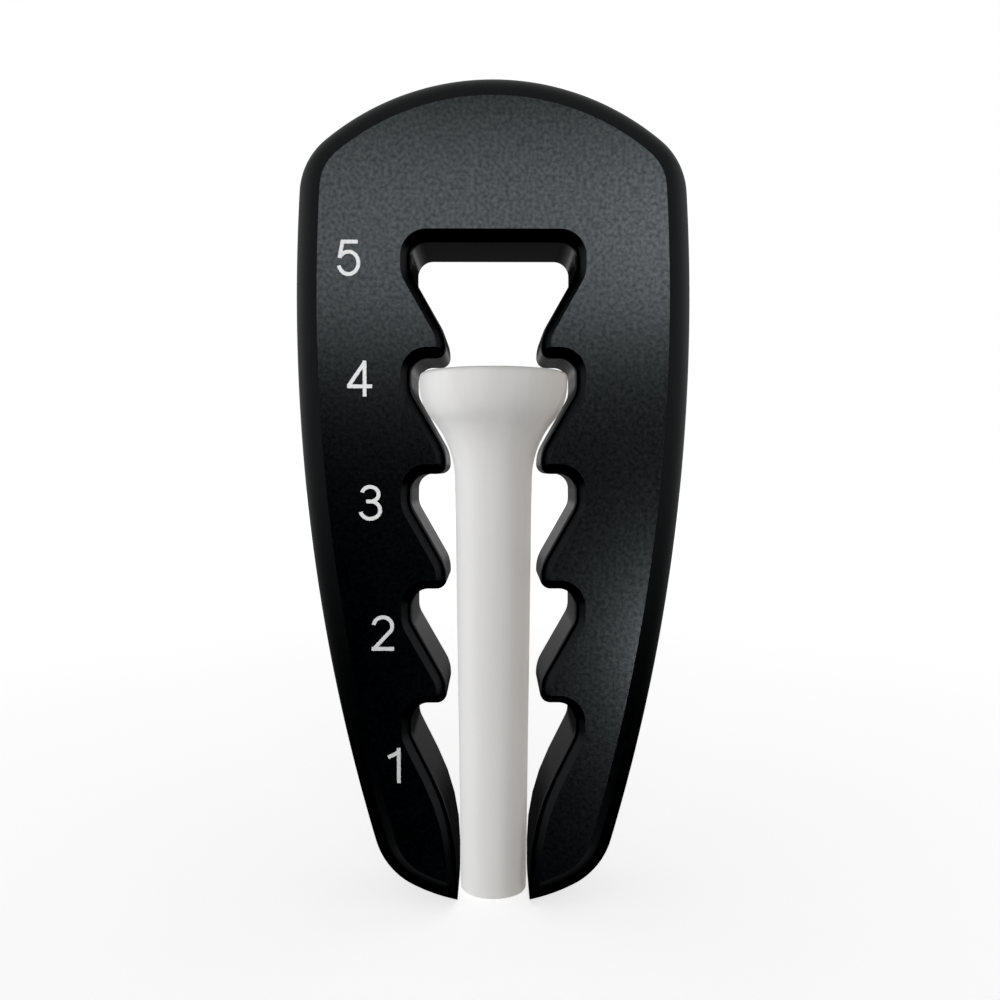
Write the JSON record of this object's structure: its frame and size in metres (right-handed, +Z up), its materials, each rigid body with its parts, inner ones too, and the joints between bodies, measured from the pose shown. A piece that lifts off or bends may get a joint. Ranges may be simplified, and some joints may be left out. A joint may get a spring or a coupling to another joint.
{
  "type": "golf tee and tee height gauge",
  "caption": "White turned golf tee standing in a flat black plate with a stepped slot, whose numbered notches set the height of the tee above the turf.",
  "frame": {"origin": "on the tee's axis, at the level of the ground that the gauge's feet stand on", "axes": "+Z up along the tee's axis; the gauge's front face, with the numerals, faces -Y; +X is to the right as seen from the front"},
  "size_m": [0.0344, 0.0134, 0.1081],
  "materials": {
    "gauge_plastic": "moulded black plastic, fine spark-eroded texture on the faces, smoother satin edges",
    "tee_lacquered_wood": "turned hardwood under satin white lacquer",
    "numeral_ink": "thin pad-printed white ink"
  },
  "bodies": {
    "tee": {"golf_tee": "tee_lacquered_wood"},
    "gauge": {"gauge_plate": "gauge_plastic", "numeral_1": "numeral_ink", "numeral_2": "numeral_ink", "numeral_3": "numeral_ink", "numeral_4": "numeral_ink", "numeral_5": "numeral_ink"}
  },
  "joints": [
    {"name": "gauge_draw", "type": "slide", "parent": "tee", "child": "gauge", "axis": [0, -1, 0], "range_m": [-0.016, 0.016]}
  ]
}
